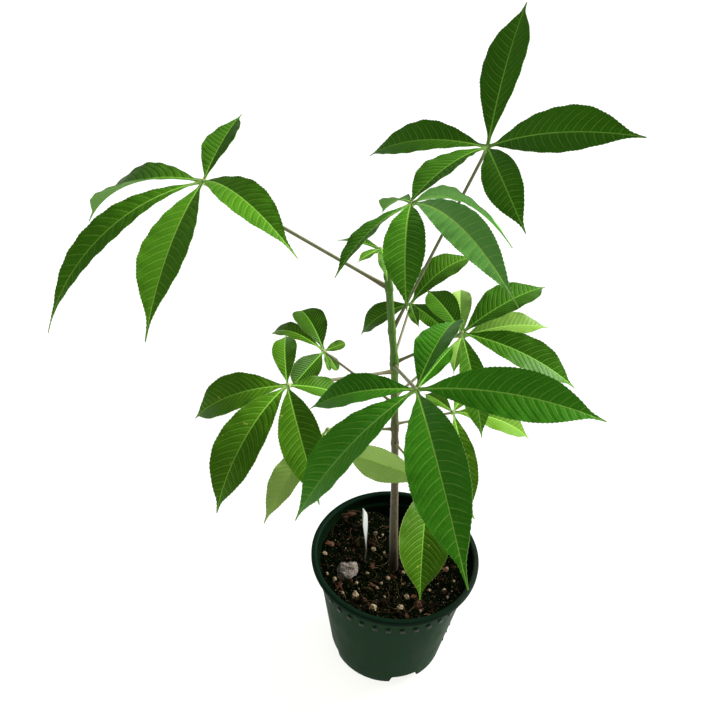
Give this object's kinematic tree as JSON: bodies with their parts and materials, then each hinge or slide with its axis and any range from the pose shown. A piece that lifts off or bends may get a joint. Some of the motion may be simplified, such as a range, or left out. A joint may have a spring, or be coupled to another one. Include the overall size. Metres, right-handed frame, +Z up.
{
  "type": "potted silk floss tree",
  "caption": "Young silk floss tree with long-stalked leaves of toothed leaflets on a slim stem, growing in a filled plastic nursery pot with a blank stake.",
  "frame": {"origin": "middle of the pot's flat underside, where it rests", "axes": "+Z up along the pot's axis, +X to the right and +Y away from the viewpoint of the picture"},
  "size_m": [0.3616, 0.3486, 0.5753],
  "materials": {
    "pot_plastic": "satin",
    "potting_soil": "matte",
    "trunk_bark": "matte",
    "label_plastic": "satin",
    "leaf_deep": "satin",
    "leaf_bright": "satin",
    "leaf_pale": "satin"
  },
  "bodies": {
    "root": {"pot": "pot_plastic", "soil": "potting_soil", "trunk": "trunk_bark", "plant_label": "label_plastic", "leaf_top_left": "leaf_deep", "leaf_top_right": "leaf_deep", "leaf_top_front": "leaf_bright", "leaf_back_small": "leaf_deep", "leaf_shoot_tip": "leaf_bright", "leaf_right": "leaf_deep", "leaf_front": "leaf_deep", "leaf_pale_right": "leaf_pale", "leaf_left": "leaf_deep", "leaf_left_small": "leaf_bright", "leaf_right_low": "leaf_pale", "leaf_low_front": "leaf_pale", "leaf_left_low": "leaf_pale"}
  },
  "joints": []
}
